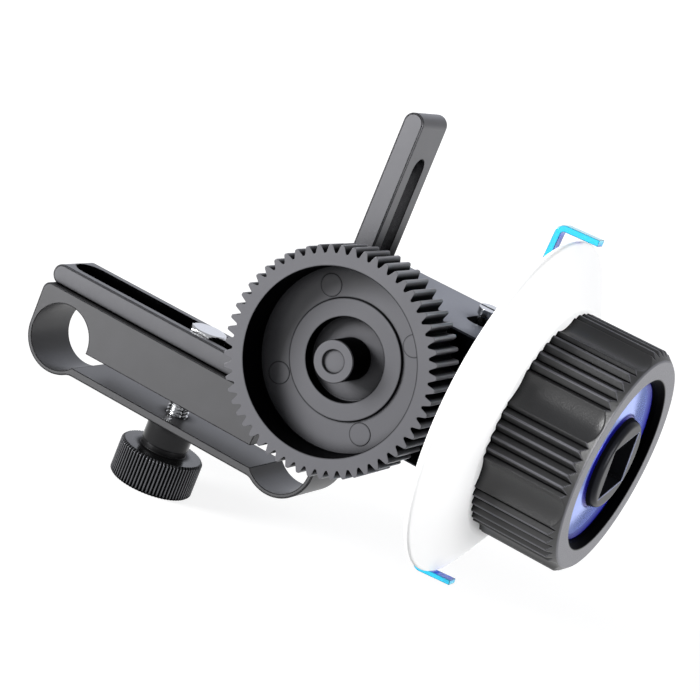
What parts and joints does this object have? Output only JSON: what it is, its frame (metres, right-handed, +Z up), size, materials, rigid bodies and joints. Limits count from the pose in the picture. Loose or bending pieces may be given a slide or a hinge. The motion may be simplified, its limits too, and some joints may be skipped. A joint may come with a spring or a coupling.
{
  "type": "follow focus unit",
  "caption": "Follow focus: a split rod clamp and slotted L-bracket carry a gearbox that turns a grooved hand wheel's motion into a toothed lens gear, with a white marking disc.",
  "frame": {"origin": "midway between the two rod bores' axes, on the clamp's front face", "axes": "+X towards the hand wheel, +Y to the back along the rods, +Z up along the bracket's upright"},
  "size_m": [0.1336, 0.0764, 0.1013],
  "materials": {
    "clamp_metal": "satin anodised",
    "bracket_metal": "satin anodised",
    "housing_metal": "satin anodised",
    "knob_metal": "black anodised, knurled",
    "steel": "bright",
    "bronze": "plain",
    "gear_plastic": "moulded",
    "wheel_plastic": "fine grained",
    "disc_plastic": "smooth",
    "cyan_acrylic": "clear",
    "blue_metal": "anodised",
    "socket_metal": "machined"
  },
  "bodies": {
    "clamp": {"rod_clamp": "clamp_metal", "clamp_bolt": "steel", "spacer_collar": "knob_metal"},
    "clamp_knob": {"clamp_knob": "knob_metal"},
    "bracket": {"bracket": "bracket_metal"},
    "gearbox": {"gearbox_housing": "housing_metal", "back_cover": "housing_metal", "back_cover_screws": "steel", "end_cap": "housing_metal", "inner_bush": "bronze", "outer_bush": "bronze", "output_bush": "bronze", "pointer_top": "cyan_acrylic", "pointer_bottom": "cyan_acrylic", "pointer_screws": "steel", "guide_pins": "steel", "lock_washer": "steel"},
    "lock_knob": {"lock_knob": "knob_metal"},
    "drag_ring": {"drag_ring": "blue_metal", "drag_screw": "steel"},
    "hand_wheel": {"input_shaft": "steel", "input_mitre_gear": "steel", "input_clip": "steel", "input_grub_screw": "steel", "disc_carrier": "housing_metal", "marking_disc": "disc_plastic", "hand_wheel": "wheel_plastic", "wheel_dish": "blue_metal", "crank_socket": "socket_metal", "wheel_screw": "steel"},
    "drive_gear": {"output_shaft": "steel", "output_mitre_gear": "steel", "output_clip": "steel", "output_grub_screw": "steel", "drive_gear": "gear_plastic", "gear_retainer": "gear_plastic"}
  },
  "joints": [
    {"name": "bracket_slide", "type": "slide", "parent": "clamp", "child": "bracket", "axis": [1, 0, 0], "range_m": [-0.012, 0.03]},
    {"name": "gearbox_slide", "type": "slide", "parent": "bracket", "child": "gearbox", "axis": [0, 0, 1], "range_m": [0, 0.03]},
    {"name": "clamp_knob_turn", "type": "hinge", "parent": "clamp", "child": "clamp_knob", "pos_m": [0, 0.0078, -0.015], "axis": [0, 0, 1], "range_deg": [-720, 0]},
    {"name": "lock_knob_turn", "type": "hinge", "parent": "gearbox", "child": "lock_knob", "pos_m": [0.025, 0.0078, 0.03], "axis": [1, 0, 0], "range_deg": [-720, 0]},
    {"name": "drag_ring_turn", "type": "hinge", "parent": "gearbox", "child": "drag_ring", "pos_m": [0.057, 0.0125, 0.03], "axis": [1, 0, 0], "range_deg": [-27, 8]},
    {"name": "hand_wheel_turn", "type": "hinge", "parent": "gearbox", "child": "hand_wheel", "pos_m": [0.06, 0.0125, 0.03], "axis": [1, 0, 0], "continuous": true},
    {"name": "drive_gear_turn", "type": "hinge", "parent": "gearbox", "child": "drive_gear", "pos_m": [0.041, 0, 0.03], "axis": [0, 1, 0], "continuous": true}
  ],
  "couplings": [
    {"joint": "drive_gear_turn", "follows": "hand_wheel_turn", "ratio": 1}
  ]
}
